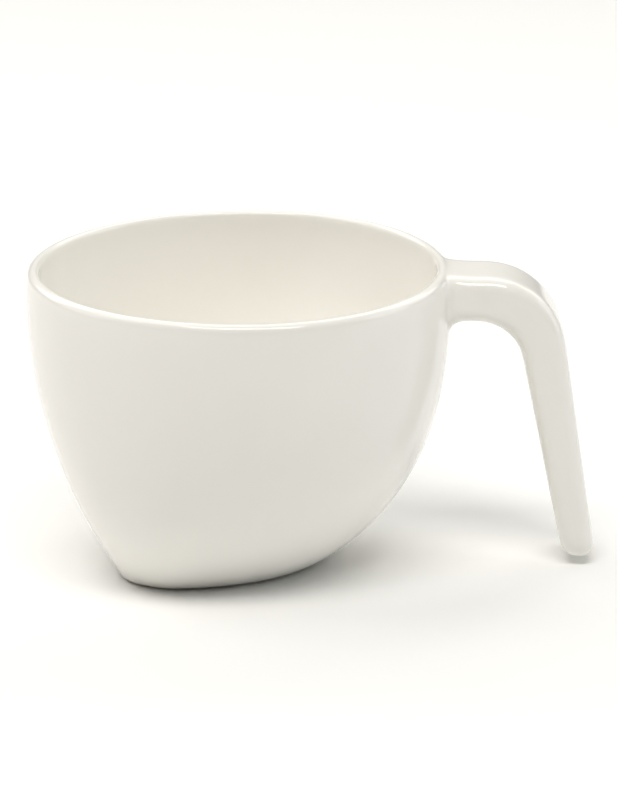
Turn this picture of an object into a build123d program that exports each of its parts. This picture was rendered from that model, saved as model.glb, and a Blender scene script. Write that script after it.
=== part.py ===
from build123d import *
import os
from math import copysign, cos, exp, pi, radians, sin, sqrt, tan

# Shaving mug: a glazed porcelain cup whose small foot sits off to the left, and
# whose handle leaves the rim on the right, turns down and ends free in the air.
# Millimetres.  X runs toward the handle, Y away from the front, Z up.
# The origin is on the table, under the middle of the rim.

# Cup, outside
rim_height = 77.0          # top of the lip above the table
belly_height = 70.8        # where the cup is widest
belly_radius = 53.0
rim_draw_in = 0.5          # the wall leans in this much between belly and rim
rim_bluntness = 0.057      # the rim is widest this far toward the handle, as a share of its radius
foot_left = 31.4           # reach of the foot away from the handle
foot_right = 18.5          # reach of the foot toward the handle
foot_bluntness = -0.41     # the foot is widest this far from its middle, as a share of half its length
foot_width_ratio = 1.0     # foot width over foot length
foot_squareness = 2.85     # superellipse exponent of the foot's left half, where 2 is an ellipse
foot_influence = 33.0      # height over which the foot's plan fades into the round of the rim
left_fullness = (2.34, 0.82)   # superellipse exponents of the left flank, in height and in reach
right_fullness = (2.60, 1.33)  # the same for the right flank

# Cup, inside
lip_thickness = 3.0
floor_thickness = 6.0
floor_bend_height = 22.0   # the inside turns from floor to wall over this height
floor_spot = 0.30          # the flat middle of the inside floor, as a share of the plan there

# Glaze
glaze_thickness = 0.3
glaze_stop_height = 0.4    # the coat is wiped off below this, so the foot stays bare

# Handle, seen from the front
handle_width = 21.0        # across, along Y
arm_root = 51.0            # X inside the cup's wall where the arm's form starts
arm_top = 75.4
arm_bottom = 64.3
leg_outer_corner = 79.2    # X where the leg's outer side would meet the arm's top
leg_inner_corner = 69.0    # X where its inner side would meet the arm's underside
leg_outer_lean = 8.4       # degrees from upright
leg_inner_lean = 11.5
leg_end_height = 2.0       # the free end hangs this far above the table
outer_bend_radius = 20.0
inner_bend_radius = 12.0
tip_inner_radius = 4.4
tip_outer_radius = 2.4
handle_edge_radius = 3.4

# Slip that lutes the handle to the cup
bead_run = 4.6             # the bead fades into the arm over this length
bead_below = 4.0           # it stands out this far under the arm, at the cup's face
bead_beside = 0.9          # and this far beside the arm
bead_wall = 52.0           # X of the cup's face beside the arm
bead_top_drop = 0.6        # the form stays this far under the arm's top, clear of the lip
bead_spread = 0.1          # growth of that form per share of the run inside the face
bead_rounding = 0.6        # how much of its growth rounds its corners

# Where the lofts have a section, as shares of the height, the depth and the bead's run
outline_steps = 32
cup_shares = (0, 0.03, 0.08, 0.15, 0.24, 0.35, 0.5, 0.65, 0.8, 0.92, 1)
cavity_shares = (0, 0.004, 0.02, 0.05, 0.1, 0.18, 0.3, 0.45, 0.62, 0.8, 0.92, 1)
bead_shares = (-0.37, 0, 0.12, 0.3, 0.6, 1)    # the first lies inside the cup's wall
lip_angles = (0, 20, 40, 60, 75, 85)    # degrees round the lip
lip_centre = rim_height - lip_thickness / 2
os.makedirs("parts", exist_ok=True)


def reach(height, foot, fullness):
    """How far one flank stands out from the rim's axis at this height."""
    if height >= belly_height:
        rise = (height - belly_height) / (rim_height - belly_height)
        return belly_radius - rim_draw_in * rise ** 2
    drop = (1 - height / belly_height) ** fullness[0]
    return foot + (belly_radius - foot) * (1 - drop) ** (1 / fullness[1])


def plan(level, height, inset, scale=1.0):
    """The cup's plan at this height, laid at this level: an ellipse to the right of its widest
    place and a squarer one to the left, which starts as an ellipse there."""
    left = inset - reach(height, foot_left, left_fullness)
    right = reach(height, foot_right, right_fullness) - inset
    fade = exp(-((height / foot_influence) ** 2))
    half_length = (right - left) / 2
    bluntness = rim_bluntness + (foot_bluntness - rim_bluntness) * fade
    middle = (left + right) / 2
    widest = middle + half_length * bluntness
    half_width = half_length * (1 + (foot_width_ratio - 1) * fade)
    points = []
    for step in range(outline_steps):
        turn = 2 * pi * step / outline_steps
        on_left = cos(turn) < 0
        square = 2 + (foot_squareness - 2) * fade * (1 - sin(turn) ** 4) if on_left else 2
        side = widest - left if on_left else right - widest
        x = widest + side * copysign(abs(cos(turn)) ** (2 / square), cos(turn))
        y = half_width * copysign(abs(sin(turn)) ** (2 / square), sin(turn))
        points.append((middle + scale * (x - middle), scale * y))
    with BuildSketch(Plane.XY.offset(level)) as sketch:
        with BuildLine():
            Spline(*points, periodic=True)
        make_face()
    return sketch.sketch


def cup_form(inset):
    """The cup's outside as one closed form, drawn in by the inset and rounded over at the lip."""
    radius = lip_thickness / 2 - inset
    flank = []
    for share in cup_shares:
        height = share * lip_centre
        flank.append(plan(height, height, inset))
    lip = []
    for angle in lip_angles:
        draw_in = radius * (1 - cos(radians(angle)))
        lip.append(plan(lip_centre + radius * sin(radians(angle)), lip_centre, inset + draw_in))
    with BuildPart() as form:
        loft(sections=flank)
        loft(sections=lip)
    return form.part


def cavity_form(inset):
    """The cup's inside, squeezed in height, rounded to the floor and flared over the lip."""
    radius = inset - lip_thickness / 2
    floor = floor_thickness - (lip_thickness - inset)
    depth = lip_centre - floor
    flank = []
    for share in cavity_shares:
        bend = min(1, share * depth / floor_bend_height)
        scale = floor_spot + (1 - floor_spot) * sqrt(1 - (1 - bend) ** 2)
        flank.append(plan(floor + share * depth, share * lip_centre, inset, scale))
    lip = []
    for angle in lip_angles:
        flare = radius * (1 - cos(radians(angle)))
        lip.append(plan(lip_centre + radius * sin(radians(angle)), lip_centre, inset - flare))
    with BuildPart() as form:
        loft(sections=flank)
        loft(sections=lip)
    return form.part


def cup_wall(outer_inset, inner_inset):
    """The hollow cup between two insets."""
    with BuildPart() as wall:
        add(cup_form(outer_inset))
        add(cavity_form(inner_inset), mode=Mode.SUBTRACT)
    return wall.part


def handle_form(inset):
    """The handle's whole form, drawn in by the inset, with its root inside the cup's wall."""
    drop = arm_top - leg_end_height
    outer_foot = leg_outer_corner + drop * tan(radians(leg_outer_lean))
    inner_foot = leg_inner_corner + (arm_bottom - leg_end_height) * tan(radians(leg_inner_lean))
    with BuildPart() as form:
        with BuildSketch(Plane.XZ):
            with BuildLine():
                FilletPolyline(
                    (arm_root, arm_bottom),
                    (leg_inner_corner, arm_bottom),
                    (inner_foot, leg_end_height),
                    (outer_foot, leg_end_height),
                    (leg_outer_corner, arm_top),
                    (arm_root, arm_top),
                    radius=[inner_bend_radius, tip_inner_radius, tip_outer_radius, outer_bend_radius],
                )
                Line((arm_root, arm_top), (arm_root, arm_bottom))
            make_face()
            offset(amount=-inset, kind=Kind.INTERSECTION)
        extrude(amount=handle_width / 2 - inset, both=True)
        sides = form.faces().filter_by(Axis.Y)
        root = form.faces().sort_by(Axis.X)[0]
        fillet(sides.edges() - root.edges(), radius=handle_edge_radius - inset)
    return form.part


def bead_form(inset):
    """A flare about the arm's root, grown along a quarter round toward the cup's face."""
    with BuildPart() as form:
        for share in bead_shares:
            growth = 1 - sqrt(1 - (1 - max(share, 0)) ** 2) + bead_spread * max(-share, 0)
            below = bead_below * growth
            low = arm_bottom - below + inset
            high = arm_top - bead_top_drop - inset
            width = handle_width + 2 * (bead_beside * growth - inset)
            with BuildSketch(Plane.YZ.offset(bead_wall + share * bead_run)):
                with Locations((0, (low + high) / 2)):
                    RectangleRounded(width, high - low, handle_edge_radius + bead_rounding * below - inset)
        loft()
    return form.part


cup_body_form = cup_form(glaze_thickness)
handle_body_form = handle_form(glaze_thickness)

with BuildPart() as bowl:
    add(cup_wall(glaze_thickness, lip_thickness - glaze_thickness))

with BuildPart() as handle:
    add(handle_body_form)
    add(cup_body_form, mode=Mode.SUBTRACT)

with BuildPart() as handle_slip:
    add(bead_form(glaze_thickness))
    add(cup_body_form, mode=Mode.SUBTRACT)
    add(handle_body_form, mode=Mode.SUBTRACT)

with BuildPart() as coated:
    add(handle_form(0))
    add(bead_form(0))
    add(cup_wall(0, lip_thickness))

with BuildPart() as glaze:
    add(coated.part)
    with BuildSketch(Plane.XY):
        Rectangle(2 * belly_radius, 2 * belly_radius)
    extrude(amount=glaze_stop_height, mode=Mode.SUBTRACT)
    add(bowl.part, mode=Mode.SUBTRACT)
    add(handle.part, mode=Mode.SUBTRACT)
    add(handle_slip.part, mode=Mode.SUBTRACT)

bowl.part.label = "bowl"
export_step(bowl.part, "parts/bowl.step")
handle.part.label = "handle"
export_step(handle.part, "parts/handle.step")
handle_slip.part.label = "handle_slip"
export_step(handle_slip.part, "parts/handle_slip.step")
glaze.part.label = "glaze"
export_step(glaze.part, "parts/glaze.step")
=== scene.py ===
import math

import bpy
from mathutils import Matrix, Vector


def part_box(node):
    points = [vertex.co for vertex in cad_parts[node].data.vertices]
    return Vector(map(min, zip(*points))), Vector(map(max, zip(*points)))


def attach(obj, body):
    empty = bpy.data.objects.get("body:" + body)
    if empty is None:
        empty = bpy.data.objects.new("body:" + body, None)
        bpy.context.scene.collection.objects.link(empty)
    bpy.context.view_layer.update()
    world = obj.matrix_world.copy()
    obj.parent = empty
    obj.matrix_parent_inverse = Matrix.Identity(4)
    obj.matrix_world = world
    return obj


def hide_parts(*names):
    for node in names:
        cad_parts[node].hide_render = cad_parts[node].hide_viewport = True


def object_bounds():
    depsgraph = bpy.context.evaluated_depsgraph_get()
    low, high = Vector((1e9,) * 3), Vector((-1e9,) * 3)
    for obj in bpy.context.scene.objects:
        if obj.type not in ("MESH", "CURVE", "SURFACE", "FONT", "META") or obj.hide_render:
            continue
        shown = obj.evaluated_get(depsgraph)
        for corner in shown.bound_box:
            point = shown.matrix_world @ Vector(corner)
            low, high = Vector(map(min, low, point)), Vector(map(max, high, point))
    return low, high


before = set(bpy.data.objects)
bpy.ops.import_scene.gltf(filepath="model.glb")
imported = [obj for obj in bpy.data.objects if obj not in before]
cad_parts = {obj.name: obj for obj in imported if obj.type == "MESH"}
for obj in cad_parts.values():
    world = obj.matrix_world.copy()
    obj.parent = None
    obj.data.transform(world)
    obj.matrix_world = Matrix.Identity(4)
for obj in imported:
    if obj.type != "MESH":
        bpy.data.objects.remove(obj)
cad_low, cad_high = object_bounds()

# Shaving mug.  Lengths are worked out in millimetres and scaled once, when a mesh is made.
# Frame: X toward the handle, Y away from the front, Z up, origin on the table.
MM = 0.001
glaze_low, glaze_high = (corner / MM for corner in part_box("glaze"))

# The cup's outside
RIM_HEIGHT = glaze_high.z
BELLY_HEIGHT = 70.8
BELLY_RADIUS = -glaze_low.x
RIM_DRAW_IN = 0.5
RIM_BLUNTNESS = 0.057
FOOT_LEFT = 31.4
FOOT_RIGHT = 18.5
FOOT_BLUNTNESS = -0.41
FOOT_WIDTH_RATIO = 1.0
FOOT_SQUARENESS = 2.85
FOOT_INFLUENCE = 33.0
LEFT_FULLNESS = (2.34, 0.82)
RIGHT_FULLNESS = (2.60, 1.33)
GLAZE_STOP = glaze_low.z
GLAZE_THICKNESS = 0.3

# The cup's inside
WALL = 3.0
LIP_OUT = (1.9, 2.0)      # half axes of the lip's outer round, across the wall and up
LIP_IN = (1.1, 1.2)
LIP_START = RIM_HEIGHT - LIP_OUT[1]
LIP_CENTRE = RIM_HEIGHT - WALL / 2
FLOOR = 6.0
FLOOR_BEND = 22.0
FLOOR_SPOT = 0.30

# The handle, seen from the front as X and Z
HANDLE_WIDTH = 21.0
ARM_TOP = 75.7
ARM_BOTTOM = 64.3
LEG_OUTER_CORNER = 79.15
LEG_INNER_CORNER = 69.0
LEG_OUTER_LEAN = math.radians(8.4)
LEG_INNER_LEAN = math.radians(11.5)
LEG_END = 2.0
OUTER_BEND = 20.0
INNER_BEND = 12.0
TIP_INNER = 4.4
TIP_OUTER = 2.8
EDGE = 3.4
FLARE_SIDE = (2.0, 2.0)     # how far the flare stands out at the cup's face, and how far it runs
FLARE_LOW = (3.9, 3.9)
FLARE_TOP = (0.9, 8.0)

# How the cage is divided; subdivision smooths it
COLUMNS = 128
HOLE_HALF = 6
HOLE_LOW = 58.5
ROWS_BELOW_HOLE = 22
ROWS_BESIDE_HOLE = 6
ROW_CROWDING = 1.5          # above 1, rows crowd toward the foot
LIP_STEPS = 8
HOLE_LIP_STEPS = 3
WALL_ROWS = 16
FLOOR_BEND_ROWS = 12
FLARE_STEPS = 4
BEND_STEPS = 8
LEG_STEPS = 10
TIP_STEPS = 4
LEAST_CORNER = 0.8
CORNER_LIMIT = 0.8          # the largest corner radius, as a share of half the thickness
ACROSS = 2 * HOLE_HALF
UP = ROWS_BESIDE_HOLE + HOLE_LIP_STEPS

# Glaze and bare clay: colours are linear, noise scales are per metre, depths are in metres
NOISE_RANGE = (0.3, 0.7)
GLAZE_TONES = ((0.922, 0.906, 0.858), (0.942, 0.929, 0.885))
GLAZE_ROUGHNESS = (0.05, 0.09)
GLAZE_IOR = 1.5
CLOUD_SCALE = 22.0
SHEEN_SCALE = 60.0
WAVE_SCALE, WAVE_DEPTH = 55.0, 0.0001
PEEL_SCALE, PEEL_DEPTH = 420.0, 0.000006
PORCELAIN_TONES = ((0.62, 0.54, 0.43), (0.72, 0.65, 0.54))
SLIP_TONES = ((0.58, 0.50, 0.40), (0.68, 0.60, 0.49))
BARE_ROUGHNESS = (0.62, 0.78)
MOTTLE_SCALE = 160.0
POLISH_SCALE = 900.0
GRAIN_SCALE, GRAIN_DEPTH = 2600.0, 0.00003

# Floor, light and camera, in metres
FLOOR_REACH = 3.0
FLOOR_TONE = (0.96, 0.96, 0.95, 1)
FLOOR_ROUGHNESS = 0.7
WARM = (1.0, 0.979, 0.945)
COOL = (0.92, 0.98, 1.0)
SKY_STRENGTH = 0.07
CAMERA_DISTANCE = 1.0
CAMERA_ELEVATION = math.radians(18.17)
CAMERA_ROLL = math.radians(-0.255)
CAMERA_AIM = Vector((-0.00077, 0.0, 0.00292))     # from the middle of the part
SENSOR_WIDTH = 36.0
LENS = 178.3


def reach(height, foot, fullness):
    """How far one flank stands out from the rim's axis at this height."""
    if height >= BELLY_HEIGHT:
        rise = (height - BELLY_HEIGHT) / (RIM_HEIGHT - BELLY_HEIGHT)
        return BELLY_RADIUS - RIM_DRAW_IN * rise ** 2
    drop = (1 - height / BELLY_HEIGHT) ** fullness[0]
    return foot + (BELLY_RADIUS - foot) * (1 - drop) ** (1 / fullness[1])


def plan(height, inset):
    """The cup's plan at a height: its middle, its widest X, its two reaches, half width and squareness."""
    left = inset - reach(height, FOOT_LEFT, LEFT_FULLNESS)
    right = reach(height, FOOT_RIGHT, RIGHT_FULLNESS) - inset
    fade = math.exp(-((height / FOOT_INFLUENCE) ** 2))
    half_length = (right - left) / 2
    middle = (left + right) / 2
    widest = middle + half_length * (RIM_BLUNTNESS + (FOOT_BLUNTNESS - RIM_BLUNTNESS) * fade)
    half_width = half_length * (1 + (FOOT_WIDTH_RATIO - 1) * fade)
    return middle, widest, widest - left, right - widest, half_width, (FOOT_SQUARENESS - 2) * fade


def cup_point(turn, level, height, inset, scale=1.0):
    """A point of the cup's plan, laid at a level. The plan is blunter on the left."""
    middle, widest, left, right, half_width, extra = plan(height, inset)
    c, s = math.cos(turn), math.sin(turn)
    square = 2 + extra * (1 - s ** 4) if c < 0 else 2
    side = left if c < 0 else right
    x = widest + side * math.copysign(abs(c) ** (2 / square), c)
    y = half_width * math.copysign(abs(s) ** (2 / square), s)
    return middle + scale * (x - middle), scale * y, level


def wall_x(y, z):
    """X of the cup's outside on the handle's side, over the lip's round as well."""
    over = min(max(z - LIP_START, 0.0) / LIP_OUT[1], 0.999)
    inset = LIP_OUT[0] * (1 - math.sqrt(1 - over ** 2))
    _, widest, _, right, half_width, _ = plan(min(z, LIP_START), inset)
    return widest + right * math.sqrt(1 - (y / half_width) ** 2)


def cup_rows():
    """Level, plan height, inset and scale of every row, from the foot over the lip to the inside floor."""
    rows = []
    for k in range(ROWS_BELOW_HOLE):
        z = GLAZE_STOP + (HOLE_LOW - GLAZE_STOP) * (k / ROWS_BELOW_HOLE) ** ROW_CROWDING
        rows.append((z, z, 0.0, 1.0))
    for k in range(ROWS_BESIDE_HOLE):
        z = HOLE_LOW + (LIP_START - HOLE_LOW) * k / ROWS_BESIDE_HOLE
        rows.append((z, z, 0.0, 1.0))
    for k in range(LIP_STEPS):
        a = math.pi * k / LIP_STEPS
        across, rise = LIP_OUT if 2 * k < LIP_STEPS else LIP_IN
        inset = LIP_OUT[0] - across * math.cos(a)
        rows.append((RIM_HEIGHT - rise * (1 - math.sin(a)), LIP_START, inset, 1.0))
    depth = LIP_CENTRE - FLOOR
    top = (RIM_HEIGHT - LIP_IN[1] - FLOOR) / depth
    for k in range(WALL_ROWS):
        share = top + (FLOOR_BEND / depth - top) * k / WALL_ROWS
        rows.append((FLOOR + share * depth, share * LIP_CENTRE, WALL, 1.0))
    for k in range(FLOOR_BEND_ROWS + 1):
        t = math.pi / 2 * (1 - k / FLOOR_BEND_ROWS)
        share = (1 - math.cos(t)) * FLOOR_BEND / depth
        scale = FLOOR_SPOT + (1 - FLOOR_SPOT) * math.sin(t)
        rows.append((FLOOR + share * depth, share * LIP_CENTRE, WALL, scale))
    return rows


def outline(half_width, half_height, corner):
    """A rounded rectangle in Y and thickness, from its low left corner: (y, t, normal y, normal t)."""
    points = []
    for side, n in enumerate((ACROSS, UP, ACROSS, UP)):
        base = math.radians(225 + 90 * side)
        step = math.pi / 8
        for k in range(n):
            if k < 2:
                angle, share = base + step * k, 0.0
            elif k <= n - 2:
                angle, share = base + 2 * step, (k - 2) / (n - 4)
            else:
                angle, share = base + 3 * step, 1.0
            corners = [(-1, -1), (1, -1), (1, 1), (-1, 1)]
            a, b = corners[side], corners[(side + 1) % 4]
            cy = (a[0] + (b[0] - a[0]) * share) * (half_width - corner)
            ct = (a[1] + (b[1] - a[1]) * share) * (half_height - corner)
            ny, nt = math.cos(angle), math.sin(angle)
            points.append((cy + corner * ny, ct + corner * nt, ny, nt))
    return points


def rounded(corner, before, after, radius, share):
    """The point at this share of the arc that rounds the corner between two directions."""
    turn = before.angle(after)
    side = (after - before * before.dot(after)).normalized()
    centre = corner - before * radius * math.tan(turn / 2) + side * radius
    return centre + radius * (before * math.sin(share * turn) - side * math.cos(share * turn))


def handle_sections():
    """(inner point, outer point, half width, corner radius) of each section, in X and Z, bend to tip."""
    right, left = Vector((1, 0)), Vector((-1, 0))
    down_in = Vector((math.sin(LEG_INNER_LEAN), -math.cos(LEG_INNER_LEAN)))
    down_out = Vector((math.sin(LEG_OUTER_LEAN), -math.cos(LEG_OUTER_LEAN)))
    bend_in = Vector((LEG_INNER_CORNER, ARM_BOTTOM))
    bend_out = Vector((LEG_OUTER_CORNER, ARM_TOP))
    tip_in = bend_in + down_in * (ARM_BOTTOM - LEG_END) / math.cos(LEG_INNER_LEAN)
    tip_out = bend_out + down_out * (ARM_TOP - LEG_END) / math.cos(LEG_OUTER_LEAN)
    sections = []
    for k in range(BEND_STEPS + 1):
        inner = rounded(bend_in, right, down_in, INNER_BEND, k / BEND_STEPS)
        outer = rounded(bend_out, right, down_out, OUTER_BEND, k / BEND_STEPS)
        sections.append((inner, outer, HANDLE_WIDTH / 2, EDGE))
    inner_end = rounded(tip_in, down_in, right, TIP_INNER, 0)
    outer_end = rounded(tip_out, down_out, left, TIP_OUTER, 0)
    inner_start, outer_start = sections[-1][0], sections[-1][1]
    for k in range(1, LEG_STEPS):
        inner = inner_start.lerp(inner_end, k / LEG_STEPS)
        outer = outer_start.lerp(outer_end, k / LEG_STEPS)
        sections.append((inner, outer, HANDLE_WIDTH / 2, EDGE))
    for k in range(TIP_STEPS + 1):
        a = math.pi / 2 * k / TIP_STEPS
        inner = rounded(tip_in, down_in, right, TIP_INNER, k / TIP_STEPS)
        outer = rounded(tip_out, down_out, left, TIP_OUTER, k / TIP_STEPS)
        sections.append((inner, outer, HANDLE_WIDTH / 2 - EDGE * (1 - math.cos(a)), EDGE * math.cos(a)))
    return sections


def coons(ring, across, up):
    """Inner points of a Coons patch in a closed ring of across, up, across and up steps."""
    bottom = ring[: across + 1]
    right = ring[across : across + up + 1]
    top = ring[across + up : 2 * across + up + 1][::-1]
    left = (ring[2 * across + up :] + ring[:1])[::-1]
    points = {}
    for j in range(1, up):
        for i in range(1, across):
            u, v = i / across, j / up
            edge = bottom[i] * (1 - v) + top[i] * v + left[j] * (1 - u) + right[j] * u
            corners = (
                bottom[0] * (1 - u) * (1 - v) + bottom[-1] * u * (1 - v)
                + top[0] * (1 - u) * v + top[-1] * u * v
            )
            points[i, j] = edge - corners
    return points


def fill(verts, faces, ring_ids, across, up, flip=False):
    """Fills a closed ring of vertices with a grid of quads."""
    inner = coons([Vector(verts[i]) for i in ring_ids], across, up)
    grid = {}
    for i in range(across + 1):
        grid[i, 0] = ring_ids[i]
        grid[i, up] = ring_ids[(2 * across + up - i) % len(ring_ids)]
    for j in range(1, up):
        grid[across, j] = ring_ids[across + j]
        grid[0, j] = ring_ids[-j]
    for key, point in inner.items():
        grid[key] = len(verts)
        verts.append(tuple(point))
    for i in range(across):
        for j in range(up):
            quad = (grid[i, j], grid[i + 1, j], grid[i + 1, j + 1], grid[i, j + 1])
            faces.append(quad[::-1] if flip else quad)


def join(faces, ring_a, ring_b):
    """Quads between two rings with the same number of vertices."""
    n = len(ring_a)
    for k in range(n):
        faces.append((ring_a[k], ring_a[(k + 1) % n], ring_b[(k + 1) % n], ring_b[k]))


def glaze_cage():
    """One skin over the cup and the handle, open only along the foot."""
    verts, faces = [], []
    rows = cup_rows()
    for level, height, inset, scale in rows:
        for column in range(COLUMNS):
            verts.append(cup_point(2 * math.pi * column / COLUMNS, level, height, inset, scale))

    def at(row, column):
        return row * COLUMNS + column % COLUMNS

    hole_rows = range(ROWS_BELOW_HOLE, ROWS_BELOW_HOLE + UP)
    for row in range(len(rows) - 1):
        for column in range(COLUMNS):
            by_handle = column < HOLE_HALF or column >= COLUMNS - HOLE_HALF
            if not (row in hole_rows and by_handle):
                near, far = at(row, column), at(row, column + 1)
                faces.append((near, far, at(row + 1, column + 1), at(row + 1, column)))
    floor_ring = [at(len(rows) - 1, column) for column in range(COLUMNS)]
    fill(verts, faces, floor_ring, COLUMNS // 4, COLUMNS // 4)

    low, high = ROWS_BELOW_HOLE, ROWS_BELOW_HOLE + UP
    hole = [at(low, k) for k in range(-HOLE_HALF, HOLE_HALF)]
    hole += [at(row, HOLE_HALF) for row in range(low, high)]
    hole += [at(high, k) for k in range(HOLE_HALF, -HOLE_HALF, -1)]
    hole += [at(row, -HOLE_HALF) for row in range(high, low, -1)]

    middle, half = (ARM_TOP + ARM_BOTTOM) / 2, (ARM_TOP - ARM_BOTTOM) / 2
    root = outline(HANDLE_WIDTH / 2, half, EDGE)
    rings = []
    for k in range(FLARE_STEPS + 1):
        a = math.pi / 2 * k / FLARE_STEPS
        ring = []
        for y, t, ny, nt in root:
            upright = FLARE_TOP if nt > 0 else FLARE_LOW
            growth = (FLARE_SIDE[0] * ny ** 2 + upright[0] * nt ** 2) * (1 - math.sin(a))
            run = (FLARE_SIDE[1] * ny ** 2 + upright[1] * nt ** 2) * (1 - math.cos(a))
            y, z = y + ny * growth, middle + t + nt * growth
            ring.append((wall_x(y, z) + run, y, z))
        rings.append(ring)
    first = []
    for (x, y, z), index in zip(rings[0], hole):
        _, hy, hz = verts[index]
        my, mz = (y + hy) / 2, (z + hz) / 2
        first.append((wall_x(my, mz), my, mz))
    rings.insert(0, first)

    for k, (inner, outer, half_width, corner) in enumerate(handle_sections()):
        span = outer - inner
        half_span = span.length / 2
        ring = []
        corner = min(max(corner, LEAST_CORNER), CORNER_LIMIT * half_span)
        for y, t, _, _ in outline(half_width, half_span, corner):
            point = inner + span * (0.5 + t / span.length)
            ring.append((point.x, y, point.y))
        if k == 0:
            last = rings[-1]
            rings.append([tuple((Vector(a) + Vector(b)) / 2) for a, b in zip(last, ring)])
        rings.append(ring)

    previous = hole
    for ring in rings:
        ids = list(range(len(verts), len(verts) + len(ring)))
        verts.extend(ring)
        join(faces, previous, ids)
        previous = ids
    fill(verts, faces, previous, ACROSS, UP)
    used = sorted({i for face in faces for i in face})
    place = {old: new for new, old in enumerate(used)}
    return [verts[i] for i in used], [tuple(place[i] for i in face) for face in faces]


def make_glaze():
    """The glaze as a closed shell: the skin, thickened inward and smoothed."""
    verts, faces = glaze_cage()
    mesh = bpy.data.meshes.new("glaze_coat")
    mesh.from_pydata([tuple(c * MM for c in v) for v in verts], [], faces)
    mesh.validate()
    mesh.polygons.foreach_set("use_smooth", [True] * len(mesh.polygons))
    piece = bpy.data.objects.new("glaze_coat", mesh)
    bpy.context.scene.collection.objects.link(piece)
    shell = piece.modifiers.new("shell", "SOLIDIFY")
    shell.thickness = GLAZE_THICKNESS * MM
    shell.offset = -1
    shell.use_even_offset = True
    smooth = piece.modifiers.new("smooth", "SUBSURF")
    smooth.levels = 1
    smooth.render_levels = 1
    return piece


def new_material(name):
    """A node material, its nodes, its links and its shader."""
    material = bpy.data.materials.new(name)
    material.use_nodes = True
    nodes = material.node_tree.nodes
    return material, nodes, material.node_tree.links, nodes["Principled BSDF"]


def noise(nodes, links, vector, scale, detail=2.0, roughness=0.5):
    """Noise in the object's own space."""
    node = nodes.new("ShaderNodeTexNoise")
    node.inputs["Scale"].default_value = scale
    node.inputs["Detail"].default_value = detail
    node.inputs["Roughness"].default_value = roughness
    links.new(vector, node.inputs["Vector"])
    return node.outputs["Fac"]


def ramp(nodes, links, factor, tones):
    """Blends between two tones over the middle of the noise's range."""
    node = nodes.new("ShaderNodeValToRGB")
    for element, place, colour in zip(node.color_ramp.elements, NOISE_RANGE, tones):
        element.position = place
        element.color = (*colour, 1.0)
    links.new(factor, node.inputs["Fac"])
    return node.outputs["Color"]


def spread(nodes, links, factor, limits):
    """Stretches the middle of the noise's range to these limits."""
    node = nodes.new("ShaderNodeMapRange")
    node.inputs["From Min"].default_value, node.inputs["From Max"].default_value = NOISE_RANGE
    node.inputs["To Min"].default_value, node.inputs["To Max"].default_value = limits
    links.new(factor, node.inputs["Value"])
    return node.outputs["Result"]


def bump(nodes, links, height, distance, normal=None):
    """A bump of this depth, over another one where given."""
    node = nodes.new("ShaderNodeBump")
    node.inputs["Strength"].default_value = 1.0
    node.inputs["Distance"].default_value = distance
    links.new(height, node.inputs["Height"])
    if normal is not None:
        links.new(normal, node.inputs["Normal"])
    return node.outputs["Normal"]


def glaze_material():
    """Warm white gloss with faint clouds of tone, slow waves and a fine orange peel."""
    material, nodes, links, shader = new_material("warm_white_glaze")
    place = nodes.new("ShaderNodeTexCoord").outputs["Object"]
    clouds = noise(nodes, links, place, CLOUD_SCALE, 3.0, 0.55)
    links.new(ramp(nodes, links, clouds, GLAZE_TONES), shader.inputs["Base Color"])
    sheen = noise(nodes, links, place, SHEEN_SCALE)
    links.new(spread(nodes, links, sheen, GLAZE_ROUGHNESS), shader.inputs["Roughness"])
    waves = bump(nodes, links, noise(nodes, links, place, WAVE_SCALE, 1.0), WAVE_DEPTH)
    peel = bump(nodes, links, noise(nodes, links, place, PEEL_SCALE), PEEL_DEPTH, waves)
    links.new(peel, shader.inputs["Normal"])
    shader.inputs["IOR"].default_value = GLAZE_IOR
    return material


def bare_material(name, tones):
    """Unglazed fired clay, mottled and finely grained."""
    material, nodes, links, shader = new_material(name)
    place = nodes.new("ShaderNodeTexCoord").outputs["Object"]
    mottle = noise(nodes, links, place, MOTTLE_SCALE, 4.0, 0.6)
    links.new(ramp(nodes, links, mottle, tones), shader.inputs["Base Color"])
    polish = noise(nodes, links, place, POLISH_SCALE)
    links.new(spread(nodes, links, polish, BARE_ROUGHNESS), shader.inputs["Roughness"])
    grain = bump(nodes, links, noise(nodes, links, place, GRAIN_SCALE, 3.0), GRAIN_DEPTH)
    links.new(grain, shader.inputs["Normal"])
    return material


def assign(node, material):
    """Gives a CAD node's every material slot this material."""
    for k in range(len(node.material_slots)):
        node.material_slots[k].material = material


glaze_coat = make_glaze()
glaze_coat.data.materials.append(glaze_material())
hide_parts("glaze")
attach(glaze_coat, "root")

porcelain = bare_material("bare_porcelain", PORCELAIN_TONES)
assign(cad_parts["bowl"], porcelain)
assign(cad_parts["handle"], porcelain)
assign(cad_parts["handle_slip"], bare_material("fired_slip", SLIP_TONES))

centre = (cad_low + cad_high) / 2

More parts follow.
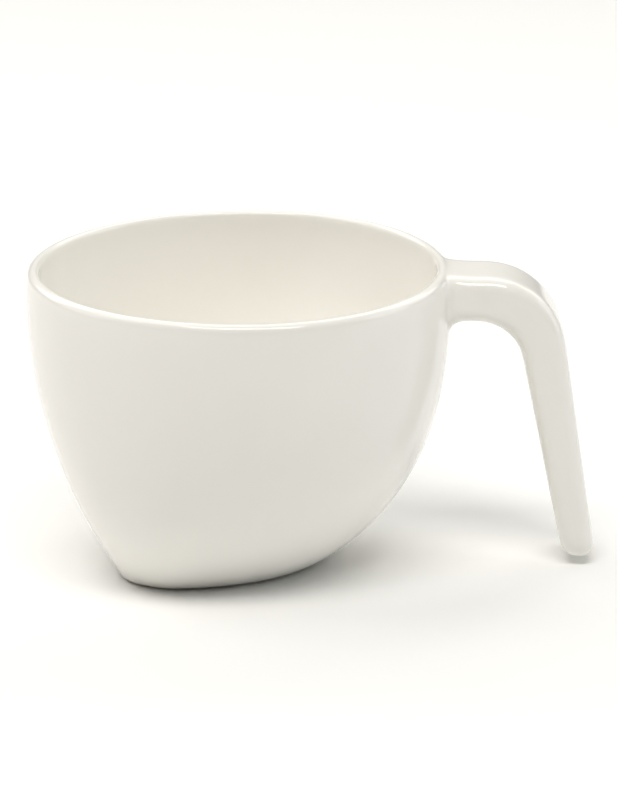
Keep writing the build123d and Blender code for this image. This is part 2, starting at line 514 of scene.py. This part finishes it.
floor_mesh = bpy.data.meshes.new("floor")
signs = ((-1, -1), (1, -1), (1, 1), (-1, 1))
floor_mesh.from_pydata([(FLOOR_REACH * x, FLOOR_REACH * y, 0) for x, y in signs], [], [(0, 1, 2, 3)])
floor = bpy.data.objects.new("floor", floor_mesh)
floor.location = (centre.x, centre.y, cad_low.z)
bpy.context.scene.collection.objects.link(floor)
floor_look, _, _, floor_shader = new_material("pale_floor")
floor_shader.inputs["Base Color"].default_value = FLOOR_TONE
floor_shader.inputs["Roughness"].default_value = FLOOR_ROUGHNESS
floor_mesh.materials.append(floor_look)


def softbox(name, place, size, power, tint=WARM):
    """An area light that faces the middle of the object. It lights and reflects, but no view sees it."""
    lamp = bpy.data.lights.new(name, "AREA")
    lamp.shape = "RECTANGLE"
    lamp.size, lamp.size_y = size
    lamp.energy = power
    lamp.color = tint
    holder = bpy.data.objects.new(name, lamp)
    holder.location = centre + Vector(place)
    holder.rotation_euler = (-Vector(place)).to_track_quat("-Z", "Y").to_euler()
    holder.visible_camera = False
    bpy.context.scene.collection.objects.link(holder)


softbox("front_high_softbox", (0.0, -0.58, 1.29), (1.12, 0.42), 12.7)
softbox("top_left_softbox", (-0.7, 0.0, 1.12), (0.56, 0.84), 3.45)
softbox("back_top_softbox", (0.0, 0.84, 0.98), (1.26, 0.7), 5.3)
softbox("back_left_softbox", (-0.84, 0.7, 0.7), (0.7, 0.7), 3.6)
softbox("back_right_softbox", (0.84, 0.7, 0.7), (0.7, 0.7), 2.85)
softbox("left_softbox", (-1.26, 0.0, 0.42), (0.7, 0.84), 1.45)
softbox("right_softbox", (1.26, 0.0, 0.42), (0.7, 0.84), 3.1, COOL)

world = bpy.data.worlds.new("studio")
world.use_nodes = True
sky = world.node_tree.nodes["Background"]
sky.inputs["Color"].default_value = (*WARM, 1)
sky.inputs["Strength"].default_value = SKY_STRENGTH
bpy.context.scene.world = world
bpy.context.scene.view_settings.view_transform = "Standard"

aim = centre + CAMERA_AIM
back = Vector((0, -math.cos(CAMERA_ELEVATION), math.sin(CAMERA_ELEVATION)))
camera_data = bpy.data.cameras.new("camera")
camera_data.sensor_width = SENSOR_WIDTH
camera_data.lens = LENS
camera = bpy.data.objects.new("camera", camera_data)
look = (-back).to_track_quat("-Z", "Y").to_matrix().to_4x4()
roll = Matrix.Rotation(CAMERA_ROLL, 4, "Z")
camera.matrix_world = Matrix.Translation(aim + back * CAMERA_DISTANCE) @ look @ roll
bpy.context.scene.collection.objects.link(camera)
bpy.context.scene.camera = camera
